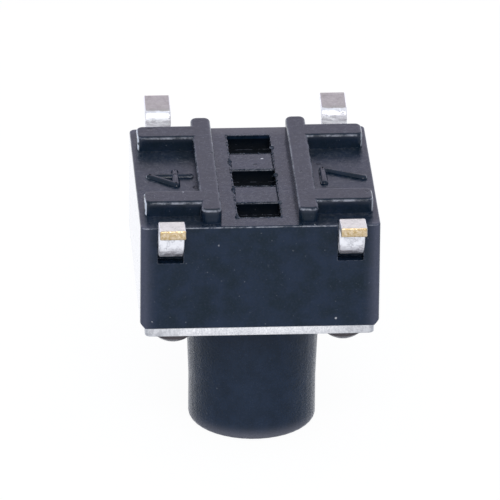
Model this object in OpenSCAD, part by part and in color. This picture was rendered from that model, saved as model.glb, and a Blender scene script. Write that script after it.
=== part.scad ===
// Tactile push button switch for surface mounting, button upright.
// The solder plane of the four feet is z = 0 and the button's axis is Z.
// The terminals leave the base on its two Y sides.

/* [Moulded base] */
// Side of the square base
base_side = 6; // [5.8:0.1:6.6]
// Height of the base from its underside to the cover plate
base_h = 2.78; // [2.6:0.02:3.6]
// Height of the base's underside above the solder plane
standoff = 0.43; // [0.43:0.01:0.6]
// Radius of the four upright corners
corner_r = 0.15; // [0.1:0.01:0.25]
// Rounding along the edges of the base
edge_r = 0.05; // [0.02:0.01:0.08]
// Bevel along the two sides without terminals, just under the cover
side_bevel = 0.13; // [0.05:0.01:0.2]
// Thinnest wall between the round well and the sides of the base
well_wall = 0.7; // [0.6:0.05:0.8]
// Lead-in bevel round the mouth of the well
well_bevel = 0.08; // [0.02:0.02:0.12]

/* [Underside] */
// Height of the rails and ribs below the underside
rib_h = 0.39; // [0.2:0.01:0.42]
// Width of each lengthwise rail
rail_w = 0.5; // [0.3:0.05:0.6]
// Distance from each end of a rail to the side of the base
rail_margin = 0.18; // [0.1:0.02:0.4]
// Distance between the centre lines of the two rails
rail_pitch = 2.42; // [2.2:0.02:2.8]
// Width of each cross rib
rib_w = 0.72; // [0.5:0.02:0.9]
// Distance from the centre line of a cross rib to the side of the base
rib_inset = 1.04; // [0.9:0.02:1.2]
// Strip of bare underside left outside the ends of the cross ribs
rib_margin = 0.14; // [0.08:0.01:0.3]
// Rounding of the ribs and rails seen from below, more than that of their edges
rib_corner_r = 0.16; // [0.13:0.01:0.2]
// Rounding along the edges of the ribs and rails
rib_edge_r = 0.09; // [0.04:0.01:0.12]
// Width of the slot down the middle
slot_w = 1.12; // [0.8:0.02:1.3]
// Distance from each end of the slot to the side of the base
slot_margin = 0.52; // [0.4:0.02:0.7]
// Depth of the three windows in the slot
window_depth = 0.4; // [0.2:0.01:0.42]
// Width of the two bars that cross the slot
bar_w = 0.97; // [0.7:0.01:1.1]
// Distance between the centre lines of the bars
bar_pitch = 1.98; // [1.7:0.02:2.3]
// How far the bars lie below the face around the slot
bar_drop = 0.05; // [0.04:0.01:0.2]

/* [Terminals] */
// Width of the terminal strip
lead_w = 0.65; // [0.5:0.01:0.9]
// Thickness of the terminal strip
lead_t = 0.24; // [0.2:0.01:0.26]
// Distance from the centre line of a terminal to the plain side of the base
lead_inset = 0.75; // [0.65:0.05:0.85]
// Distance from the side of the base to the toe of a foot
toe_reach = 1.15; // [0.9:0.05:1.5]
// Distance from the base's side to the outer face of a terminal's upright
lead_reach = 0.44; // [0.42:0.01:0.6]
// Height of the underside of the level strip above the solder plane
lead_z = 0.88; // [0.88:0.01:0.92]
// Inner radius of the two bends
bend_r = 0.08; // [0.03:0.01:0.12]
// Height of the notch round each terminal
notch_h = 0.98; // [0.8:0.02:1.2]
// Depth of that notch in the side of the base
notch_depth = 0.3; // [0.15:0.05:0.35]

/* [Contacts] */
// Plastic over the strips, up to the floor of the well
floor_skin = 0.13; // [0.1:0.01:0.2]
// Diameter of the centre contact
centre_pad_d = 0.8; // [0.5:0.05:1]
// Height of the centre contact above the floor of the well
centre_pad_up = 0.02; // [0:0.01:0.04]
// Diameter of the two contacts under the dome's rim
rim_pad_d = 0.5; // [0.36:0.02:0.54]
// Width of the arms that carry the contacts
arm_w = 0.8; // [0.6:0.05:0.9]
// Angle of the two rim contacts from the middle line of the switch
rim_pad_angle = 51; // [45:1:60]

/* [Cover plate] */
// Distance from the plate's edge to a plain side of the base
cover_margin_x = 0.125; // [0.1:0.005:0.25]
// Distance from the plate's edge to a side with terminals
cover_margin_y = 0.05; // [0:0.01:0.2]
// Thickness of the plate
cover_t = 0.24; // [0.15:0.01:0.3]
// Radius of the plate's corners
cover_corner_r = 0.16; // [0.1:0.02:0.4]

/* [Rivets] */
// Distance from a rivet's centre to the nearest two sides of the base
rivet_inset = 0.86; // [0.8:0.02:0.94]
// Diameter of the post that goes through the plate
rivet_d = 0.62; // [0.4:0.02:0.8]
// Diameter of the melted head
rivet_head_d = 1; // [0.84:0.02:1.1]
// Height of the head above the plate
rivet_head_h = 0.46; // [0.3:0.02:0.5]
// Height of the head's upright rim, below its round cap
rivet_rim_h = 0.24; // [0.1:0.02:0.26]

/* [Button] */
// Height of the button above the cover plate
button_out = 3.62; // [2:0.02:9]
// Diameter of the button's even outer end, where a cap goes on
button_d = 3.24; // [3:0.02:3.4]
// Length of that even end
grip_l = 1.2; // [0.6:0.05:1.5]
// How much wider the tapered rest of the button gets, down to its flange
root_step = 0.22; // [0.02:0.02:0.3]
// Rounding round the button's end
button_edge_r = 0.14; // [0.05:0.01:0.3]
// Gap all round between the button's root and the hole in the plate
button_gap = 0.06; // [0.03:0.01:0.1]
// Gap all round between the flange and the well
flange_side_gap = 0.2; // [0.1:0.05:0.3]
// Thickness of the flange
flange_t = 0.5; // [0.3:0.05:0.6]
// Gap between the flange and the plate at rest
flange_gap = 0.02; // [0.01:0.01:0.05]
// Diameter of the boss that presses the dome
boss_d = 1.5; // [1:0.1:2]

/* [Snap dome] */
// Gap all round between the dome and the well
dome_side_gap = 0.25; // [0.15:0.05:0.35]
// Thickness of the dome's spring steel
dome_t = 0.06; // [0.04:0.01:0.1]
// Free height under the middle of the dome
dome_rise = 0.27; // [0.22:0.01:0.32]
// Width of the flat ring where the dome stands
dome_rim_w = 0.07; // [0.04:0.01:0.1]

/* [Hidden] */

half = base_side / 2;
root_d = button_d + root_step;
well_d = base_side - 2 * well_wall;
rail_l = base_side - 2 * rail_margin;
rib_pitch = base_side - 2 * rib_inset;
slot_l = base_side - 2 * slot_margin;
lead_pitch = base_side - 2 * lead_inset;
lead_span = base_side + 2 * toe_reach;
cover_x = base_side - 2 * cover_margin_x;
cover_y = base_side - 2 * cover_margin_y;
rivet_pitch = base_side - 2 * rivet_inset;
flange_d = well_d - 2 * flange_side_gap;
dome_d = well_d - 2 * dome_side_gap;
base_top = standoff + base_h;
cover_top = base_top + cover_t;
total_h = cover_top + button_out;
lead_top = lead_z + lead_t;
floor_z = lead_top + floor_skin;
centre_pad_top = floor_z + centre_pad_up;
plastic = "#1c1c1f";
silvered = "#dcdce2";
steel = "#c8cacf";
over = 1;
round_fn = 96;
small_fn = 48;
edge_fn = 24;

// Copies the children to four places, at plus and minus x and y.
module four(x, y) {
    for (sx = [-1, 1], sy = [-1, 1])
        translate([sx * x, sy * y, 0])
            children();
}

// Upright post with radius r and both rims rounded, standing on z = 0.
module round_post(r, h, edge) {
    rotate_extrude($fn = edge_fn) {
        translate([0, edge])
            square([r, h - 2 * edge]);
        square([r - edge, h]);
        for (z = [edge, h - edge])
            intersection() {
                translate([r - edge, z])
                    circle(r = edge, $fn = edge_fn);
                square([r, h]);
            }
    }
}

// Block x by y by h with upright corners of radius r and all other edges rounded.
module round_block(x, y, h, r, edge) {
    hull()
        four(x / 2 - r, y / 2 - r)
            round_post(r, h, edge);
}

// Flat plate with round corners, made of exact solids.
module plate(x, y, h, r) {
    translate([-x / 2, r - y / 2, 0])
        cube([x, y - 2 * r, h]);
    translate([r - x / 2, -y / 2, 0])
        cube([x - 2 * r, y, h]);
    four(x / 2 - r, y / 2 - r)
        cylinder(r = r, h = h, $fn = small_fn);
}

// Outer block of the base, bevelled along the two sides without terminals.
module base_block() {
    intersection() {
        translate([0, 0, standoff])
            round_block(base_side, base_side, base_h + 2 * edge_r, corner_r, edge_r);
        translate([0, half + over, 0])
            rotate([90, 0, 0])
                linear_extrude(base_side + 2 * over)
                    polygon([
                        [-half - over, 0],
                        [half + over, 0],
                        [half + over, base_top - side_bevel - over],
                        [half, base_top - side_bevel],
                        [half - side_bevel, base_top],
                        [side_bevel - half, base_top],
                        [-half, base_top - side_bevel],
                        [-half - over, base_top - side_bevel - over]
                    ]);
    }
}

// Rails and cross ribs on the underside, sunk into the block by their own rounding.
module ribs() {
    depth = rib_h + 3 * rib_edge_r;
    translate([0, 0, standoff - rib_h]) {
        for (side = [-1, 1])
            translate([side * rail_pitch / 2, 0, 0])
                round_block(rail_w, rail_l, depth, rib_corner_r, rib_edge_r);
        difference() {
            for (side = [-1, 1])
                translate([0, side * rib_pitch / 2, 0])
                    round_block(base_side - 2 * rib_margin, rib_w, depth, rib_corner_r, rib_edge_r);
            channel_w = rail_pitch;
            translate([-channel_w / 2, -half, -over])
                cube([channel_w, base_side, depth + 2 * over]);
        }
    }
}

// Slot down the middle of the underside, cut to the depth of its windows.
module slot_cut() {
    translate([-slot_w / 2, -slot_l / 2, standoff - over])
        cube([slot_w, slot_l, window_depth + over]);
}

// Two bars across the slot, which leave three windows and lie a little below the face.
module bars() {
    for (side = [-1, 1])
        translate([0, side * bar_pitch / 2, standoff + bar_drop])
            round_block(slot_w, bar_w, window_depth - bar_drop + 2 * edge_r, edge_r, edge_r);
}

// Notches in the base's two Y sides where the terminals come out.
module notches() {
    for (side = [0, 1])
        mirror([0, side, 0])
            for (x = [-1, 1])
                translate([x * lead_pitch / 2 - lead_w / 2, half - notch_depth, standoff - over])
                    cube([lead_w, notch_depth + over, notch_h + over]);
}

// Round well with its lead-in.
module well_cut() {
    translate([0, 0, floor_z])
        cylinder(d = well_d, h = base_h, $fn = round_fn);
    translate([0, 0, base_top - well_bevel])
        cylinder(d1 = well_d, d2 = well_d + 4 * well_bevel, h = 2 * well_bevel, $fn = round_fn);
}

// One post, melted down over the plate into a low round head.
module rivet() {
    head_r = rivet_head_d / 2;
    cap_h = rivet_head_h - rivet_rim_h;
    cap_r = (head_r * head_r + cap_h * cap_h) / (2 * cap_h);
    rotate_extrude($fn = small_fn) {
        translate([0, base_top - edge_r])
            square([rivet_d / 2, cover_t + 2 * edge_r]);
        translate([0, cover_top])
            square([head_r, rivet_rim_h]);
        intersection() {
            translate([0, cover_top + rivet_head_h - cap_r])
                circle(r = cap_r, $fn = round_fn);
            translate([0, cover_top + rivet_rim_h])
                square([head_r, cap_h]);
        }
    }
}

// Outline of one terminal strip seen from the side, foot to foot.
module strip_outline() {
    out_r = bend_r + lead_t;
    knee_y = half + lead_reach - out_r;
    ankle_y = half + lead_reach + bend_r;
    translate([-knee_y, lead_z])
        square([2 * knee_y, lead_t]);
    for (side = [0, 1])
        mirror([side, 0]) {
            translate([knee_y, lead_z - bend_r])
                bend(out_r, [0, 0]);
            translate([half + lead_reach - lead_t, out_r])
                square([lead_t, lead_z - bend_r - out_r]);
            translate([ankle_y, out_r])
                bend(out_r, [-out_r, -out_r]);
            translate([ankle_y, 0])
                square([lead_span / 2 - ankle_y, lead_t]);
        }
}

// Quarter ring of the strip's thickness, in the square whose low corner is given.
module bend(out_r, corner) {
    intersection() {
        difference() {
            circle(r = out_r, $fn = small_fn);
            circle(r = bend_r, $fn = small_fn);
        }
        translate(corner)
            square(out_r);
    }
}

// Bent strip with a foot at each end, centred on the given x.
module strip(x) {
    translate([x - lead_w / 2, 0, 0])
        rotate([90, 0, 90])
            linear_extrude(lead_w)
                strip_outline();
}

// Pressed-up contact spot standing on an arm.
module pad(x, y, d, top) {
    translate([x, y, lead_z])
        cylinder(d = d, h = top - lead_z, $fn = small_fn);
}

// Level arm from a strip at x0 to x1, at the given y.
module arm(x0, x1, y) {
    translate([min(x0, x1), y - arm_w / 2, lead_z])
        cube([abs(x1 - x0), arm_w, lead_t]);
}

module contact_centre_metal() {
    strip(lead_pitch / 2);
    arm(lead_pitch / 2, -centre_pad_d / 2, 0);
    pad(0, 0, centre_pad_d, centre_pad_top);
}

module contact_rim_metal() {
    stand_r = (dome_d - dome_rim_w) / 2;
    pad_x = -stand_r * cos(rim_pad_angle);
    pad_y = stand_r * sin(rim_pad_angle);
    strip(-lead_pitch / 2);
    for (side = [-1, 1]) {
        arm(-lead_pitch / 2, pad_x + rim_pad_d / 2, side * pad_y);
        pad(pad_x, side * pad_y, rim_pad_d, floor_z);
    }
}

module base() {
    color(plastic)
        difference() {
            union() {
                difference() {
                    base_block();
                    slot_cut();
                }
                bars();
                ribs();
                four(rivet_pitch / 2, rivet_pitch / 2)
                    rivet();
            }
            notches();
            well_cut();
            contact_centre_metal();
            contact_rim_metal();
        }
}

module contact_centre() {
    color(silvered)
        contact_centre_metal();
}

module contact_rim() {
    color(silvered)
        contact_rim_metal();
}

// Shallow cap that stands on a narrow flat ring round the well's floor.
module snap_dome() {
    stand_r = dome_d / 2 - dome_rim_w;
    inner_r = (stand_r * stand_r + dome_rise * dome_rise) / (2 * dome_rise);
    centre_z = floor_z + dome_rise - inner_r;
    color(steel)
        intersection() {
            difference() {
                translate([0, 0, centre_z])
                    sphere(r = inner_r + dome_t, $fn = round_fn);
                translate([0, 0, centre_z])
                    sphere(r = inner_r, $fn = round_fn);
            }
            translate([0, 0, floor_z])
                cylinder(d = dome_d, h = dome_rise + 2 * dome_t, $fn = round_fn);
        }
}

// Button with its flange under the plate and its boss on the dome.
module button() {
    r = button_d / 2;
    flange_top = base_top - flange_gap;
    flange_low = flange_top - flange_t;
    dome_top = floor_z + dome_rise + dome_t;
    shaft_top = total_h - button_edge_r;
    color(plastic)
        rotate_extrude($fn = round_fn) {
            translate([0, flange_low])
                square([r, shaft_top - flange_low]);
            translate([0, flange_low])
                square([r - button_edge_r, total_h - flange_low]);
            intersection() {
                translate([r - button_edge_r, shaft_top])
                    circle(r = button_edge_r, $fn = small_fn);
                translate([0, shaft_top])
                    square([r, button_edge_r]);
            }
            polygon([
                [0, flange_low],
                [root_d / 2, flange_top],
                [r, total_h - grip_l],
                [0, total_h - grip_l]
            ]);
            translate([0, flange_low])
                square([flange_d / 2, flange_t]);
            translate([0, dome_top])
                square([boss_d / 2, flange_low + flange_t / 2 - dome_top]);
        }
}

module cover_plate() {
    color(steel)
        translate([0, 0, base_top])
            difference() {
                plate(cover_x, cover_y, cover_t, cover_corner_r);
                translate([0, 0, -over])
                    cylinder(r = root_d / 2 + button_gap, h = cover_t + 2 * over, $fn = round_fn);
                four(rivet_pitch / 2, rivet_pitch / 2)
                    translate([0, 0, -over])
                        cylinder(d = rivet_d, h = cover_t + 2 * over, $fn = small_fn);
            }
}

base();
contact_centre();
contact_rim();
snap_dome();
button();
cover_plate();
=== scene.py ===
"""Tactile push button switch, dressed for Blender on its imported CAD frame.
The switch stands on its feet, and the main camera looks at its underside, upside down."""

import math

import bmesh
import bpy
import numpy as np
from mathutils import Matrix, Vector


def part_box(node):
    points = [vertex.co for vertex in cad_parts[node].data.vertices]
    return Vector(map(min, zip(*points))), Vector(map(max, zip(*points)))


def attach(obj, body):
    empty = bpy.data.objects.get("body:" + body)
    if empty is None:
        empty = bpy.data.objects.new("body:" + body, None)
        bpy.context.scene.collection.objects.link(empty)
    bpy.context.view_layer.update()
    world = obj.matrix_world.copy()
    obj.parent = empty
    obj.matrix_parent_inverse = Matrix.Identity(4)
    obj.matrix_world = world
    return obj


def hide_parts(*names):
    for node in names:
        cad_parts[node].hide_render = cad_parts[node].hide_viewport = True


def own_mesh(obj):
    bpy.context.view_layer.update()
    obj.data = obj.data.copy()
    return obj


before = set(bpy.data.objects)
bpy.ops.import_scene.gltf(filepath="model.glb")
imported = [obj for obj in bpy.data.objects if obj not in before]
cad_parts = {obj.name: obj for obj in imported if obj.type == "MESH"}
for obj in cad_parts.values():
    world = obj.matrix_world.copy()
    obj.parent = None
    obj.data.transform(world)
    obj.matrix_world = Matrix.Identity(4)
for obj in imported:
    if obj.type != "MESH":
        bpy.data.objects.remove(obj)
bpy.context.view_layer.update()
MM = 0.001

# Moulded base.
# One black thermoplastic moulding, glossy from a polished mould, with four posts melted over
# the plate. Its flat faces carry faint flow marks and dust; its edges are lightened by wear and
# by painted highlights, and painted glints, sheen and shade are on it too.


class Socket:
    """A shader socket on which + - * work as Math nodes, so a mask is written as a formula."""

    def __init__(self, tree, link):
        self.tree = tree
        self.link = link

    def node(self, kind, output=0, settings=None, **inputs):
        """Adds a node of a type, sets its settings and then its sockets, and returns an output.
        An input is named with _ for a space, or in0, in1 and so on by its place."""
        made = self.tree.nodes.new("ShaderNode" + kind)
        for name, value in (settings or {}).items():
            setattr(made, name, value)
        for name, value in inputs.items():
            where = int(name[2:]) if name[:2] == "in" and name[2:].isdigit() else name.replace("_", " ")
            target = made.inputs[where]
            if isinstance(value, Socket):
                self.tree.links.new(value.link, target)
            else:
                target.default_value = value
        return Socket(self.tree, made.outputs[output])

    def math(self, operation, *values):
        """Math node on this socket and the given values."""
        inputs = {f"in{i}": v for i, v in enumerate((self, *values))}
        return self.node("Math", settings={"operation": operation}, **inputs)

    def __add__(self, other):
        return self.math("ADD", other)

    def __radd__(self, other):
        return self.math("ADD", other)

    def __sub__(self, other):
        return self.math("SUBTRACT", other)

    def __rsub__(self, other):
        return self.node("Math", settings={"operation": "SUBTRACT"}, in0=other, in1=self)

    def __mul__(self, other):
        return self.math("MULTIPLY", other)

    def __rmul__(self, other):
        return self.math("MULTIPLY", other)

    def step(self, low, high):
        """0 below low and 1 above high, with a smooth change between them."""
        settings = {"interpolation_type": "SMOOTHSTEP"}
        return self.node("MapRange", settings=settings, Value=self, From_Min=low, From_Max=high)

    def colours(self, first, second):
        """Colour that goes from first to second as this mask goes from 0 to 1."""
        pair = {}
        for place, colour in (("in6", first), ("in7", second)):
            pair[place] = colour if isinstance(colour, Socket) else (*colour, 1)
        return self.node("Mix", output=2, settings={"data_type": "RGBA"}, in0=self, **pair)


def finish_material(name):
    """New material with its Principled shader, and its Object coordinates in millimetres."""
    made = bpy.data.materials.new(name)
    made.use_nodes = True
    tree = made.node_tree
    shader = tree.nodes["Principled BSDF"]
    place = Socket(tree, tree.nodes.new("ShaderNodeTexCoord").outputs["Object"])
    place = place.node("VectorMath", settings={"operation": "SCALE"}, in0=place, Scale=1000)
    return made, shader, place


def axes(place):
    """The three coordinates of a place, each a socket of its own."""
    return [place.node("SeparateXYZ", output=i, in0=place) for i in range(3)]


def noise(place, scale, detail=3, rough=0.55, stretch=(1, 1, 1)):
    """Noise of about 0 to 1, with scale features in a millimetre, stretched along the axes."""
    wide = place.node("Mapping", Vector=place, Scale=stretch)
    return place.node("TexNoise", Vector=wide, Scale=scale, Detail=detail, Roughness=rough)


def specks(place, scale, size, share):
    """Small uneven specks: one in each Voronoi cell, kept in a share of the cells, where its
    cell's own random number also sets how strong it is."""
    cell = place.node("TexVoronoi", output="Distance", Vector=place, Scale=scale)
    tint = place.node("TexVoronoi", output="Color", Vector=place, Scale=scale)
    pick = place.node("SeparateXYZ", in0=tint)
    ragged = cell + (noise(place, scale * 5, 2, 0.6) - 0.5) * size * 1.6
    return (1 - ragged.step(size * 0.5, size)) * pick.step(1 - share, 1)


def edge_mask(place, radius):
    """Mask that is 1 on sharp edges, where a rounded normal turns away from the flat one."""
    soft = place.node("Bevel", settings={"samples": 6}, Radius=radius * MM)
    flat = place.node("NewGeometry", output="Normal")
    dot = {"operation": "DOT_PRODUCT"}
    same = place.node("VectorMath", output="Value", settings=dot, in0=soft, in1=flat)
    return 1 - same.step(0.75, 0.985)


def connect(place, shader, **inputs):
    """Puts sockets or plain values on a Principled shader."""
    for name, value in inputs.items():
        target = shader.inputs[name.replace("_", " ")]
        if isinstance(value, Socket):
            place.tree.links.new(value.link, target)
        else:
            target.default_value = value


def base_plastic():
    """Blue-black glossy plastic with flow clouds, mould grain, pits and dust. The underside is
    gritty, with edges lightened in patches by wear and by painted highlights, painted glints on
    the end corners of the cross ribs and a painted highlight fading down the rib faces. Painted
    shade darkens its low faces and the inside of the slot. The upright corners of the base are
    hazy with a painted sheen, and its melted posts grey."""
    made, shader, place = finish_material("base_plastic")
    x, y, z = axes(place)
    across = x.math("ABSOLUTE")
    along = y.math("ABSOLUTE")
    lean, _, tilt = axes(place.node("NewGeometry", output="Normal"))
    cloud = noise(place, 1.7, 5, 0.62)
    ripple = noise(place, 6, 3, 0.6)
    grain = noise(place, 17, 3, 0.7)
    dust = specks(place, 3.7, 0.15, 0.16) * noise(place, 1.7).step(0.40, 0.60)
    fine_dust = specks(place, 7.5, 0.15, 0.30)
    pits = specks(place, 3.3, 0.09, 0.16) * (1 - dust)
    nicks = specks(place, 1.9, 0.16, 0.5)
    grit = noise(place, 13, 4, 0.8).step(0.47, 0.66)
    lint = noise(place, 14, 2, 0.5, (1, 0.25, 1)).step(0.71, 0.78)
    under = 1 - z.step(0.5, 0.6)
    low = 1 - z.step(0.38, 0.44)
    flat = 1 - tilt.step(-0.99, -0.9)
    marks = across.step(1.66, 1.70) * (1 - along.step(0.72, 0.76))
    # Underside edges whose normal leans about 32 degrees from straight down are lightened in patches:
    # partly wear, partly a painted highlight where the front lamp catches the rib edges.
    rubbed_and_highlight = under * (1 - marks) * (1 - (tilt + 0.53).math("ABSOLUTE").step(0.12, 0.34))
    rubbed_and_highlight = rubbed_and_highlight * noise(place, 4.5, 4, 0.7).step(0.38, 0.62)
    # Painted highlight: the upright faces just below the rib tops are lighter, as if the highlight on
    # the rib edges faded down them.
    sheen_below_edges = (1 - z.step(0.09, 0.22)) * tilt.step(-0.5, -0.2)
    slot = (1 - across.step(0.56, 0.57)) * (1 - along.step(2.49, 2.51))
    slot = slot * z.step(0.50, 0.54) * (1 - z.step(1.3, 1.4))
    seam = z.step(0.36, 0.41) * (1 - along.step(2.85, 2.93)) * under
    # Sharp edges lightened in patches: partly wear, partly a painted highlight, kept faint in the seams
    # at the foot of the ribs.
    worn_and_highlight = edge_mask(place, 0.05) * noise(place, 7, 3).step(0.40, 0.62)
    worn_and_highlight = worn_and_highlight * (1 - seam * 0.7) * (1 - flat * 0.5)
    # Painted sheen with some hazy wear: the upright corners of the base are made lighter, as a bright
    # reflection on their rounding would make them.
    corner = across.step(2.35, 3.0) * along.step(2.35, 3.0)
    haze_and_sheen = corner * corner * corner * (0.5 + grain * 0.8)
    # The flat underside is made paler near its back edge, in the middle.
    paler_back_middle = under * flat * y.step(2.3, 2.95) * (1 - across.step(0.8, 1.1))
    polish = across.step(2.985, 2.995)
    lean = lean.math("ABSOLUTE")
    # Painted glints: bright lines on the rounded end corners of the cross ribs, stronger on the +X
    # side.
    glint = low * across.step(2.6, 2.7) * lean.step(0.60, 0.85) * (1 - lean.step(0.955, 0.985))
    glint = glint * (0.35 + x.step(-0.1, 0.1) * 0.45) * noise(place, 5).step(0.3, 0.45)
    black = cloud.step(0.30, 0.70).colours((0.0010, 0.0080, 0.0165), (0.0065, 0.0155, 0.0355))
    black = (grain.step(0.45, 0.75) * 0.6).colours(black, (0.015, 0.021, 0.038))
    # Painted shade: the underside's low rib and rail faces, and its flat faces a little, are darkened.
    black = (0.35 * low + flat * under * 0.3).colours(black, (0.0025, 0.0055, 0.0110))
    black = (flat * under * grit * (0.8 - low * 0.25)).colours(black, (0.050, 0.057, 0.070))
    black = (paler_back_middle * 0.75).colours(black, (0.060, 0.060, 0.068))
    black = haze_and_sheen.colours(black, (0.060, 0.065, 0.095))
    black = (sheen_below_edges * 0.25).colours(black, (0.060, 0.060, 0.075))
    black = (nicks * under * 0.7).colours(black, (0.002, 0.004, 0.008))
    # Painted shade: the inside of the slot windows is made nearly black.
    black = (slot * 0.85).colours(black, (0.0004, 0.0012, 0.0025))
    black = (z.step(3.47, 3.49) * 0.8).colours(black, (0.085, 0.070, 0.072))
    black = (worn_and_highlight * 0.5).colours(black, (0.15, 0.16, 0.20))
    black = (rubbed_and_highlight * 0.75).colours(black, (0.22, 0.23, 0.27))
    black = glint.colours(black, (0.68, 0.73, 0.82))
    black = (lint * 0.10).colours(black, (0.30, 0.32, 0.36))
    black = (fine_dust * (0.25 - polish * 0.15)).colours(black, (0.25, 0.26, 0.30))
    black = (dust * (1 - polish * 0.6)).colours(black, (0.50, 0.51, 0.54))
    rough = (0.17 + ripple * 0.10 + grain * 0.06 + worn_and_highlight * 0.15 + dust * 0.3) * (1 - polish * 0.6)
    rough = rough - flat * under * 0.07 + flat * under * (1 - low) * across.step(1.3, 1.5) * 0.12
    rough = rough + polish * (pits + fine_dust) * 0.7
    relief = grain * 2.2 + ripple * 4 + cloud * 2 + dust * 3 - pits * 6 - nicks * under * 18
    relief = relief * (1 - polish * 0.8) - polish * (pits + fine_dust) * 40
    bump = place.node("Bump", Height=relief, Distance=0.0000016, Strength=0.6)
    connect(place, shader, Base_Color=black, Roughness=rough, Normal=bump, IOR=1.30)
    return made


plastic = base_plastic()
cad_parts["base"].data.materials.clear()
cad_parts["base"].data.materials.append(plastic)

# Mould marks.
# A plain digit stands on each recess of the underside, lying on its side as the mould's
# engraver left it. Each stroke is a low round-backed bar.

MARK_HEIGHT = 1.0 * MM
MARK_WIDTH = 0.78 * MM
STROKE_HALF = 0.105 * MM
STROKE_RISE = 0.090 * MM
STROKE_CORNERS = 24
STROKE_LIFTS = (-20, 0, 20, 40, 60, 78)
FACE_LEVEL = 0.43 * MM
LEFT_MIDDLE = (2.12 * MM, -0.12 * MM)
RIGHT_MIDDLE = (-2.25 * MM, -0.12 * MM)
SHARP_ANGLE = math.radians(35)
FOUR = [((0.68, 0.0), (0.68, 1.0)), ((0.68, 1.0), (0.0, 0.36)), ((0.0, 0.36), (1.0, 0.36))]
SEVEN = [((0.0, 1.0), (1.0, 1.0)), ((1.0, 1.0), (0.35, 0.0))]


def skin(rings):
    """Vertices and quads of a grid of rings, each ring closed, with its two ends filled."""
    rows, count = rings.shape[:2]
    i, j = np.meshgrid(np.arange(rows - 1), np.arange(count), indexing="ij")
    k = (j + 1) % count
    quads = np.stack([i * count + j, i * count + k, (i + 1) * count + k, (i + 1) * count + j], -1)
    faces = quads.reshape(-1, 4).tolist()
    faces.append(list(range(count))[::-1])
    faces.append(list(range((rows - 1) * count, rows * count)))
    return rings.reshape(-1, 3), faces


def piece(name, parts, material, body):
    """One mesh object of several skins, with outward normals and smooth faces, riding on a body."""
    points = []
    faces = []
    start = 0
    for vertices, polygons in parts:
        points.append(vertices)
        faces += [[start + v for v in face] for face in polygons]
        start += len(vertices)
    mesh = bpy.data.meshes.new(name)
    mesh.from_pydata(np.concatenate(points).tolist(), [], faces)
    mesh.materials.append(material)
    shell = bmesh.new()
    shell.from_mesh(mesh)
    bmesh.ops.recalc_face_normals(shell, faces=shell.faces)
    shell.to_mesh(mesh)
    shell.free()
    made = bpy.data.objects.new(name, mesh)
    bpy.context.scene.collection.objects.link(made)
    mesh.shade_smooth()
    mesh.set_sharp_from_angle(angle=SHARP_ANGLE)
    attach(made, body)
    return made


def stroke(start, end, centre):
    """Vertices and faces of a bar between two points of a digit, given as shares of its size.
    Ring k is the line swelled by half-width times cos t, lowered from the face by rise times sin t."""
    ends = np.array([start, end]) * (MARK_WIDTH, MARK_HEIGHT)
    ends = ends[:, ::-1] + centre - (MARK_HEIGHT / 2, MARK_WIDTH / 2)
    along = math.atan2(*(ends[1] - ends[0])[::-1])
    turn = along + (np.arange(STROKE_CORNERS) + 0.5) * 2 * math.pi / STROKE_CORNERS
    near = np.where(np.cos(turn - along)[:, None] > 0, ends[1], ends[0])
    lift = np.radians(STROKE_LIFTS)[:, None]
    outward = np.stack([np.cos(turn), np.sin(turn)], 1)
    flat = near[None] + (np.cos(lift) * STROKE_HALF)[..., None] * outward[None]
    height = np.broadcast_to(FACE_LEVEL - STROKE_RISE * np.sin(lift), flat.shape[:2])
    return skin(np.concatenate([flat, height[..., None]], 2))


for name, digit, middle in (("mark_left", FOUR, LEFT_MIDDLE), ("mark_right", SEVEN, RIGHT_MIDDLE)):
    piece(name, [stroke(a, b, middle) for a, b in digit], plastic, "housing")

# Slot flash.
# The halves of the mould meet badly along the slot of the underside, so a thin ragged rim of
# plastic stands along its edges and along the edges of its bars.

SLOT_HALF = 0.56 * MM
SLOT_END = 2.48 * MM
BAR_LEVEL = 0.48 * MM
BAR_PLACE = 0.99 * MM
BAR_HALF = 0.485 * MM
FLASH = 0.055 * MM
FLASH_LEAST = 0.12
FLASH_STEPS = 180
FLASH_CORNERS = 8


def ragged(count, seed):
    """Shares from 0 to 1 along an edge: the mean of sines of rising pace, each with a random
    phase, moved and scaled to that range and squared, so that most of them stay low."""
    pace = np.arange(3, 34, 3)[:, None]
    phase = np.random.default_rng(seed).uniform(0, 2 * math.pi, pace.shape)
    wave = np.sin(pace * np.linspace(0, 2 * math.pi, count) + phase).mean(0)
    return ((wave - wave.min()) / np.ptp(wave)) ** 2


def flash_rim(start, end, size, seed):
    """Skin of a bead along a straight level edge. The radius of its round section is the size
    times the least share plus the ragged share at that place."""
    start, end = np.array(start), np.array(end)
    radius = size * (FLASH_LEAST + ragged(FLASH_STEPS, seed))
    line = start + np.linspace(0, 1, radius.size)[:, None] * (end - start)
    side = np.array([end[1] - start[1], start[0] - end[0], 0]) / np.linalg.norm(end - start)
    turn = np.linspace(0, 2 * math.pi, FLASH_CORNERS, endpoint=False)[:, None]
    section = np.cos(turn) * side + np.sin(turn) * np.array([0, 0, 1])
    return skin(line[:, None] + radius[:, None, None] * section)


rims = []
for side in (-1, 1):
    ends = [(side * SLOT_HALF, s * SLOT_END, FACE_LEVEL) for s in (-1, 1)]
    rims.append(flash_rim(*ends, FLASH, 11 + side))
    for face in (-1, 1):
        edge = side * BAR_PLACE + face * BAR_HALF
        ends = [(s * SLOT_HALF, edge, BAR_LEVEL) for s in (-1, 1)]
        rims.append(flash_rim(*ends, FLASH / 2, 21 + 2 * side + face))
    ends = [(s * SLOT_HALF, side * SLOT_END, FACE_LEVEL) for s in (-1, 1)]
    rims.append(flash_rim(*ends, FLASH / 2, 31 + side))
piece("slot_flash", rims, plastic, "housing")

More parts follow.
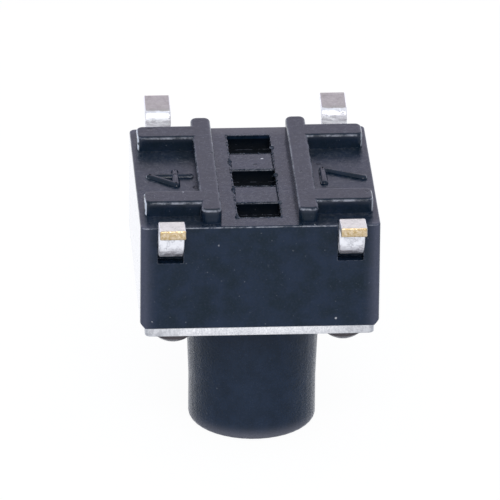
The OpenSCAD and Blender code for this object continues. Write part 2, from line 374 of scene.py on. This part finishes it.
# Contact strips.
# Each pair of terminals is one brass strip, stamped, silver plated and bent at both ends.
# The strip is cut from its reel after plating, so bare brass shows on the ends of the feet.

STRIP_WIDTH = 0.65 * MM
STRIP_THICKNESS = 0.24 * MM
STRIP_EDGE = 0.03 * MM
STRIP_SPAN = 2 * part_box("contact_centre")[1].y
STRIP_REACH = 3.44 * MM
STRIP_PLACE = 2.25 * MM
STRIP_LEVEL = 1.0 * MM
KNEE_RADIUS = 0.18 * MM
ANKLE_RADIUS = 0.17 * MM
KNEE_PINCH = 0.10
TOE_DROP = math.radians(6)
FOOT_STEPS = 14
BEND_STEPS = 10
RISE_STEPS = 8
CORNER_STEPS = 4


def strip_path():
    """Middle line of a strip, foot to foot, in the YZ plane. Straight stretches are joined by arcs.
    Each foot falls by the toe drop from its ankle, so that the toe's lower edge is on the board."""
    half = STRIP_THICKNESS / 2
    upright = STRIP_REACH - half
    out = np.array([math.cos(TOE_DROP), -math.sin(TOE_DROP)])
    over = np.array([math.sin(TOE_DROP), math.cos(TOE_DROP)])
    toe = np.array([STRIP_SPAN / 2, 0]) + (-2 * half * over[0], 0) + half * over
    run = (toe[0] - upright - ANKLE_RADIUS * (1 - over[0])) / out[0]
    foot = toe - np.linspace(0, 1, FOOT_STEPS)[:, None] * run * out
    centre = foot[-1] + ANKLE_RADIUS * over
    turn = np.linspace(TOE_DROP, math.pi / 2, BEND_STEPS)
    ankle = centre - ANKLE_RADIUS * np.stack([np.sin(turn), np.cos(turn)], 1)
    rise = np.linspace(ankle[-1, 1], STRIP_LEVEL - KNEE_RADIUS, RISE_STEPS)[1:]
    rise = np.stack([np.full(rise.size, upright), rise], 1)
    turn = np.linspace(0, math.pi / 2, BEND_STEPS)[1:]
    knee = np.array([upright - KNEE_RADIUS, STRIP_LEVEL - KNEE_RADIUS])
    knee = knee + KNEE_RADIUS * np.stack([np.cos(turn), np.sin(turn)], 1)
    side = np.concatenate([foot, ankle[1:], rise, knee])
    return np.concatenate([side, side[::-1] * (-1, 1)])


def rounded_section(width, thickness, radius):
    """Outline of a rectangle whose corners are quarter circles, as offsets across and along it."""
    turn = np.linspace(0, math.pi / 2, CORNER_STEPS)
    corner = np.stack([np.cos(turn), np.sin(turn)], 1) * radius
    quarter = corner + (width / 2 - radius, thickness / 2 - radius)
    flip = quarter[::-1] * (-1, 1)
    return np.concatenate([quarter, flip, -quarter, -flip])


def swept(path, section, shrink):
    """Section carried along a path in the YZ plane, scaled at each point by shrink.
    A point is the path's point + across on X + along on the path's own normal."""
    ahead = np.gradient(path, axis=0)
    ahead /= np.linalg.norm(ahead, axis=1, keepdims=True)
    normal = np.stack([-ahead[:, 1], ahead[:, 0]], 1)
    across = section[None, :, 0] * shrink[:, None, 0]
    along = section[None, :, 1] * shrink[:, None, 1]
    yz = path[:, None, :] + along[..., None] * normal[:, None, :]
    return np.concatenate([across[..., None], yz], 2)


def bent_strip(x):
    """Skin of one strip at a given x. Both cut ends are rounded off by rings that shrink there
    as a circle does: the section loses radius - sqrt(radius squared - depth squared). At the
    knees the stretched metal is narrower by the pinch, times exp(-(distance / radius) squared)."""
    path = strip_path()
    section = rounded_section(STRIP_WIDTH, STRIP_THICKNESS, STRIP_EDGE)
    depth = np.array([1.0, 0.85, 0.5, 0.0]) * STRIP_EDGE
    loss = STRIP_EDGE - np.sqrt(STRIP_EDGE ** 2 - depth ** 2)
    small = 1 - 2 * loss[:, None] / np.array([[STRIP_WIDTH, STRIP_THICKNESS]])
    inward = (path[1] - path[0]) / np.linalg.norm(path[1] - path[0])
    toe = path[0] + (STRIP_EDGE - depth)[:, None] * inward
    path = np.concatenate([toe, path[2:-2], toe[::-1] * (-1, 1)])
    shrink = np.concatenate([small, np.ones((len(path) - 2 * len(toe), 2)), small[::-1]])
    knee = np.array([STRIP_REACH - STRIP_THICKNESS / 2 - KNEE_RADIUS / 3, STRIP_LEVEL])
    away = np.linalg.norm(np.abs(path) - knee, axis=1) / KNEE_RADIUS
    shrink[:, 0] *= 1 - KNEE_PINCH * np.exp(-away ** 2)
    rings = swept(path, section, shrink)
    rings[..., 0] += x
    return skin(rings)


def silver_plate():
    """Satin silver plating with rolling lines, wrinkles at the bends and bare brass toe ends, and
    painted shade at the knees, on the edges of the feet and on the rear soles.
    """
    made, shader, place = finish_material("silver_plate")
    _, y, z = axes(place)
    reach = y.math("ABSOLUTE")
    tilt = place.node("SeparateXYZ", output=2, in0=place.node("NewGeometry", output="Normal"))
    lines = noise(place, 9, 3, 0.6, (1, 0.15, 0.15))
    wrinkle = noise(place, 6, 4, 0.65, (0.5, 2.0, 2.0))
    pits = noise(place, 22, 2, 0.6)
    stain = noise(place, 2.6, 4, 0.65).step(0.5, 0.75)
    wobble = noise(place, 7, 3, 0.6) - 0.5
    crack = 1 - (noise(place, 8, 5, 0.75) - 0.5).math("ABSOLUTE").step(0.006, 0.035)
    crack = crack * noise(place, 5, 2, 0.5).step(0.42, 0.58)
    sole = (1 - (tilt + wobble * 0.2).step(-0.92, -0.86)) * (1 - z.step(0.12, 0.18))
    knee = z.step(0.72, 0.98) * reach.step(3.1, 3.2)
    inner = 1 - reach.step(3.21, 3.25)
    ankle = (1 - sole) * (1 - z.step(0.34, 0.46)) * (1 - reach.step(3.55, 3.65))
    # Painted shade: the edges of the feet near the board are darkened, which also tones down the lamp's
    # highlight on the toes.
    rim = edge_mask(place, 0.03) * (1 - z.step(0.20, 0.30))
    brass = (reach + wobble * 0.05 - z * 0.105).step(4.104, 4.112)
    silver = stain.colours((0.90, 0.89, 0.91), (0.80, 0.77, 0.79))
    crease = wrinkle.step(0.44, 0.56) * (1 - wrinkle.step(0.60, 0.72))
    # Partly painted shade: the knees are darkened where they bend out of the notches, and more in their
    # wrinkles.
    silver = (knee * (0.35 + crease * 0.6)).colours(silver, (0.26, 0.24, 0.26))
    silver = ((ankle * 0.3 + inner * 0.5) * crease).colours(silver, (0.52, 0.50, 0.53))
    # The soles get a duller, yellower tone, and painted shade makes the rear soles darker than the
    # front ones.
    sole_tone_and_shade = y.step(0, 0.1) * 0.80 + 0.08 + wobble * 0.6 + (pits - 0.5) * 0.4
    sole_tone_and_shade = sole_tone_and_shade.colours((0.745, 0.725, 0.650), (0.410, 0.370, 0.360))
    silver = (sole * (1 - crease * 0.06)).colours(silver, sole_tone_and_shade)
    split = crack * (0.20 + knee * 0.3 + ankle * 0.1 + sole * 0.15)
    silver = split.colours(silver, (0.30, 0.26, 0.27))
    gold = noise(place, 14, 4, 0.7).step(0.3, 0.7).colours((0.47, 0.33, 0.145), (0.73, 0.60, 0.43))
    colour = (rim * 0.45).colours(brass.colours(silver, gold), (0.30, 0.27, 0.22))
    rough = 0.30 + pits * 0.15 + stain * 0.12 + sole * 0.15 + inner * 0.3
    relief = lines * 1.5 + wrinkle * (knee * 8 + ankle * 4 + inner * 7 + 2)
    relief = relief + pits * 1.5 + brass * pits * 5 - crack * (1 - brass) * 2
    bump = place.node("Bump", Height=relief, Distance=0.000002, Strength=0.8)
    connect(place, shader, Base_Color=colour, Roughness=rough, Normal=bump, Metallic=1 - inner * 0.95)
    return made


plating = silver_plate()
for node, x in (("contact_centre", STRIP_PLACE), ("contact_rim", -STRIP_PLACE)):
    strip = piece(node + "_strip", [bent_strip(x)], plating, "housing")
    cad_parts[node].data.materials.clear()
    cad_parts[node].data.materials.append(plating)
    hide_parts(node)

# Snap dome.
# A round cap of rolled spring steel that clicks under the button, hidden in the well.
# It stands on its rim. Its middle would go down as far as the button does, but here it rides still on
# the housing.

WELD = 0.001 * MM
FLAT_WITHIN = math.radians(1)
FACET_CORNERS = 12


def dome_steel():
    """Bright spring steel with fine rolling lines along Y."""
    made, shader, place = finish_material("dome_steel")
    lines = noise(place, 30, 3, 0.6, (1, 0.04, 1))
    grey = lines.colours((0.62, 0.61, 0.59), (0.74, 0.73, 0.71))
    bump = place.node("Bump", Height=lines, Distance=0.000001, Strength=0.5)
    connect(place, shader, Base_Color=grey, Roughness=0.22 + lines * 0.12, Normal=bump, Metallic=1.0)
    return made


def smooth_copy(node, name, material, body):
    """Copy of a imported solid's mesh under a new name, which takes its place in the picture and
    rides on a body. Its flat faces are made whole again, and the large ones, which have many
    corners, are shaded flat."""
    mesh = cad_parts[node].data.copy()
    for owner in (mesh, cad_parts[node].data):
        owner.materials.clear()
        owner.materials.append(material)
    shell = bmesh.new()
    shell.from_mesh(mesh)
    bmesh.ops.remove_doubles(shell, verts=shell.verts, dist=WELD)
    bmesh.ops.dissolve_limit(shell, angle_limit=FLAT_WITHIN, verts=shell.verts, edges=shell.edges)
    for face in shell.faces:
        face.smooth = len(face.verts) < FACET_CORNERS
    shell.to_mesh(mesh)
    shell.free()
    made = bpy.data.objects.new(name, mesh)
    bpy.context.scene.collection.objects.link(made)
    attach(made, body)
    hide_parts(node)
    return made


dome = smooth_copy("snap_dome", "sprung_dome", dome_steel(), "housing")
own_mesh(dome)

# Button.
# A plain round black moulding with a satin skin, which slides in the cover plate's hole.
# It is drawn lengthwise out of its mould, and that leaves fine marks along it.

BUTTON_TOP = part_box("button")[1].z / MM


def button_plastic():
    """Satin blue-black plastic with fine lengthwise drag marks, a little dust, and an end made paler,
    partly hazy and partly as a painted reflection of the floor.
    """
    made, shader, place = finish_material("button_plastic")
    z = axes(place)[2]
    cloud = noise(place, 2.4, 4, 0.6)
    drag = noise(place, 12, 3, 0.6, (1, 1, 0.10))
    grain = noise(place, 15, 3, 0.7)
    dust = specks(place, 4.1, 0.10, 0.10) * noise(place, 3)
    # Painted reflection with some hazy wear: the button grows lighter towards its end, as the pale
    # floor under it would make it.
    haze_and_sheen = z.step(BUTTON_TOP - 0.62, BUTTON_TOP)
    black = cloud.step(0.3, 0.7).colours((0.0030, 0.0100, 0.0230), (0.0065, 0.0155, 0.0345))
    black = (grain.step(0.5, 0.75) * 0.4).colours(black, (0.014, 0.022, 0.044))
    black = (haze_and_sheen * haze_and_sheen * haze_and_sheen).colours(black, (0.105, 0.105, 0.125))
    black = dust.colours(black, (0.20, 0.21, 0.23))
    rough = 0.18 + drag * 0.08 + grain * 0.08
    relief = drag * 1.2 + grain * 16 + cloud * 0.6
    bump = place.node("Bump", Height=relief, Distance=0.000002, Strength=0.8)
    connect(place, shader, Base_Color=black, Roughness=rough, Normal=bump, IOR=1.30)
    return made


smooth_copy("button", "moulded_button", button_plastic(), "button")

# Cover plate.
# One sheet of bright steel, stamped to shape and held by the base's melted posts.
# The shear leaves a mottled edge with upright striations.

PLATE_BREAK = 0.016 * MM
BREAK_ABOVE = math.radians(40)


def plate_steel():
    """Bright steel: brushed flat faces, and a mottled sheared edge that is darker towards its ends."""
    made, shader, place = finish_material("plate_steel")
    facing = place.node("SeparateXYZ", output=2, in0=place.node("NewGeometry", output="Normal"))
    edge = 1 - facing.math("ABSOLUTE").step(0.3, 0.6)
    lines = noise(place, 24, 3, 0.6, (0.05, 1, 1))
    shear = noise(place, 21, 4, 0.8, (1, 1, 0.8))
    fleck = noise(place, 9, 4, 0.7, (1, 1, 0.7)).step(0.46, 0.60)
    mottle = noise(place, 2.2, 5, 0.7)
    grey = lines.colours((0.72, 0.73, 0.75), (0.83, 0.84, 0.86))
    cut = shear.step(0.36, 0.62) * 0.7 + mottle.step(0.35, 0.65) * 0.3
    cut = cut.colours((0.60, 0.60, 0.62), (1.0, 0.98, 0.97))
    ends = axes(place)[0].math("ABSOLUTE").step(1.5, 2.7)
    cut = (ends * (0.2 + shear.step(0.4, 0.6) * 0.4)).colours(cut, (0.50, 0.50, 0.52))
    cut = (fleck * (0.10 + ends * 0.30)).colours(cut, (0.27, 0.27, 0.29))
    colour = edge.colours(grey, cut)
    rough = 0.26 + edge * 0.16 + mottle * 0.1
    relief = lines * (1 - edge) + shear * edge * 4 + mottle * edge * 2
    bump = place.node("Bump", Height=relief, Distance=0.000002, Strength=0.8)
    connect(place, shader, Base_Color=colour, Roughness=rough, Normal=bump, Metallic=1.0)
    return made


plate = smooth_copy("cover_plate", "stamped_plate", plate_steel(), "housing")
rounding = plate.modifiers.new("rounding", "BEVEL")
rounding.width = PLATE_BREAK
rounding.segments = 3
rounding.limit_method = "ANGLE"
rounding.angle_limit = BREAK_ABOVE

# Camera, floor and light.
# The photograph looks at the underside of a switch that stands on its button, so the camera
# is low and upside down. Each floor is seen from its own side only.

AZIMUTH = math.radians(3.64)
DIP = math.radians(25.155)
ROLL = math.radians(0.537)
AIM_HEIGHT = 1.8 * MM
AIM_RIGHT = -0.082 * MM
AIM_UP = -0.6213 * MM
DISTANCE = 233 * MM
FOCAL_PIXELS = 9223
PICTURE = 500
SENSOR = 36
TABLE_HALF = 1.0
TABLE_GLOW = 0.93
LAMP_AIM = 3 * MM

back = np.array([math.sin(AZIMUTH) * math.cos(DIP), -math.cos(AZIMUTH) * math.cos(DIP), -math.sin(DIP)])
level = np.array([-math.cos(AZIMUTH), -math.sin(AZIMUTH), 0.0])
above = np.cross(back, level)
right = math.cos(ROLL) * level + math.sin(ROLL) * above
up = math.cos(ROLL) * above - math.sin(ROLL) * level
spot = np.array([0, 0, AIM_HEIGHT]) + AIM_RIGHT * right + AIM_UP * up + DISTANCE * back
lens = bpy.data.cameras.new("camera")
lens.sensor_width = SENSOR
lens.lens = FOCAL_PIXELS * SENSOR / PICTURE
lens.clip_start = 0.01
lens.clip_end = 10
camera = bpy.data.objects.new("camera", lens)
bpy.context.scene.collection.objects.link(camera)
turned = Matrix(np.stack([right, up, back], 1).tolist()).to_4x4()
camera.matrix_world = Matrix.Translation(Vector(spot)) @ turned
bpy.context.scene.camera = camera


def floor(name, height, facing):
    """Wide pale plane at a height, facing up (1) or down (-1), and clear from its other side."""
    signs = ((-1, -1), (1, -1), (1, 1), (-1, 1))
    corners = [(x * TABLE_HALF, y * TABLE_HALF, height) for x, y in signs]
    mesh = bpy.data.meshes.new(name)
    mesh.from_pydata(corners[::facing], [], [(0, 1, 2, 3)])
    made = bpy.data.objects.new(name, mesh)
    bpy.context.scene.collection.objects.link(made)
    for kind in ("diffuse", "glossy", "transmission", "shadow"):
        setattr(made, "visible_" + kind, False)
    paint = bpy.data.materials.new(name)
    paint.use_nodes = True
    tree = paint.node_tree
    tree.nodes.clear()
    start = Socket(tree, None)
    pale = start.node("BsdfDiffuse", Color=(0.97, 0.97, 0.97, 1))
    glow = start.node("Emission", Color=(1, 1, 1, 1), Strength=1.0)
    shown = start.node("MixShader", in0=TABLE_GLOW, in1=pale, in2=glow)
    clear = start.node("BsdfTransparent")
    behind = start.node("NewGeometry", output="Backfacing")
    both = start.node("MixShader", in0=behind, in1=shown, in2=clear)
    tree.links.new(both.link, tree.nodes.new("ShaderNodeOutputMaterial").inputs["Surface"])
    mesh.materials.append(paint)


floor("table", 0.0, 1)
floor("photo_table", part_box("button")[1].z, -1)

world = bpy.data.worlds.new("studio")
bpy.context.scene.world = world
world.use_nodes = True
sky = world.node_tree
sky.nodes.clear()
start = Socket(sky, None)
direction = start.node("TexCoord", output="Generated")
sideways, ahead, upward = axes(direction)
far = ahead.step(0.6, 0.85)
low_pane = far * (1 - (upward + 0.43).math("ABSOLUTE").step(0.28, 0.50))
high_pane = far * (1 - (upward - 0.43).math("ABSOLUTE").step(0.20, 0.45))
near = 1 - ahead.step(-0.85, -0.5)
sides = sideways.math("ABSOLUTE").step(0.45, 0.75) * upward.step(0.1, 0.3)
tint = near.colours((0.83, 0.88, 0.97), (0.99, 1.02, 1.08))
tint = low_pane.colours(tint, (1.22, 1.15, 1.40))
tint = high_pane.colours(tint, (1.34, 1.35, 1.40))
ceiling = upward.step(0.55, 0.95)
seen = start.node("LightPath", output="Is Camera Ray")
light = start.node("Background", Color=tint, Strength=1 - ceiling * 0.4 - sides * 0.25)
white = start.node("Background", Color=(1, 1, 1, 1), Strength=1.0)
mixed = start.node("MixShader", in0=seen, in1=light, in2=white)
sky.links.new(mixed.link, sky.nodes.new("ShaderNodeOutputWorld").inputs["Surface"])


def softbox(name, place, size, power):
    """Square soft lamp at a place in millimetres, turned to the middle of the switch."""
    lamp = bpy.data.lights.new(name, "AREA")
    lamp.size = size * MM
    lamp.energy = power
    made = bpy.data.objects.new(name, lamp)
    bpy.context.scene.collection.objects.link(made)
    made.location = Vector(place) * MM
    aim = Vector((0, 0, LAMP_AIM)) - made.location
    made.rotation_euler = aim.to_track_quat("-Z", "Y").to_euler()
    made.visible_camera = False


softbox("key_above", (60, -70, 110), 60, 0.004)
softbox("key_below", (-70, -60, -90), 60, 0.004)
softbox("front", (0, -86, -69), 50, 0.06)

bpy.context.scene.view_settings.view_transform = "Standard"
